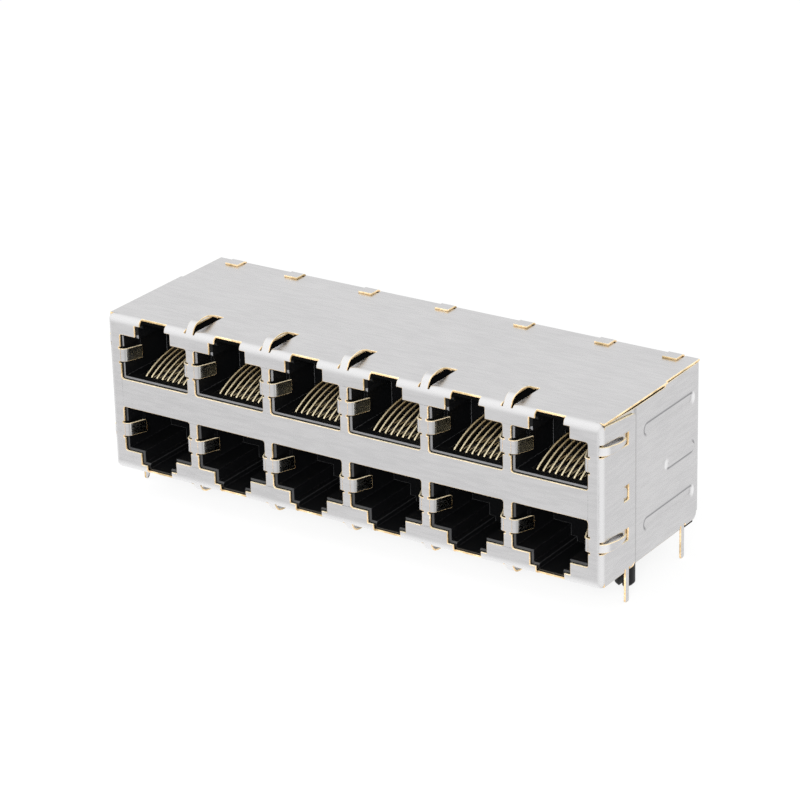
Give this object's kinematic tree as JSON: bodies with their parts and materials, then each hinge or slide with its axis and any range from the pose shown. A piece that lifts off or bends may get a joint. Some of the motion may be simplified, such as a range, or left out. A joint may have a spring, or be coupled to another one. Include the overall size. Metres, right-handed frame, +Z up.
{
  "type": "modular jack",
  "caption": "Shielded block of modular jacks for a circuit board, with two rows of stepped ports, sprung grounding fingers, split locating pegs and solder legs.",
  "frame": {"origin": "on the board's upper face, at the foot of the middle standoff, midway between the two locating pegs", "axes": "+X runs along the row of ports, to the right when the ports are looked into; +Y runs back from the ports; +Z points up from the board"},
  "size_m": [0.0884, 0.0292, 0.0314],
  "materials": {
    "nickel_sheet": "fine brushed nickel plate with copper-coloured cut edges",
    "black_moulding": "satin black moulding",
    "gold_contacts": "gold plate"
  },
  "bodies": {
    "root": {"front_shield": "nickel_sheet", "rear_shield": "nickel_sheet", "housing": "black_moulding", "tail_plate": "black_moulding", "contact_carrier_1": "black_moulding", "contact_carrier_2": "black_moulding", "contact_carrier_3": "black_moulding", "contact_carrier_4": "black_moulding", "contact_carrier_5": "black_moulding", "contact_carrier_6": "black_moulding", "upper_contacts_1": "gold_contacts", "upper_contacts_2": "gold_contacts", "upper_contacts_3": "gold_contacts", "upper_contacts_4": "gold_contacts", "upper_contacts_5": "gold_contacts", "upper_contacts_6": "gold_contacts", "lower_contacts_1": "gold_contacts", "lower_contacts_2": "gold_contacts", "lower_contacts_3": "gold_contacts", "lower_contacts_4": "gold_contacts", "lower_contacts_5": "gold_contacts", "lower_contacts_6": "gold_contacts"}
  },
  "joints": []
}
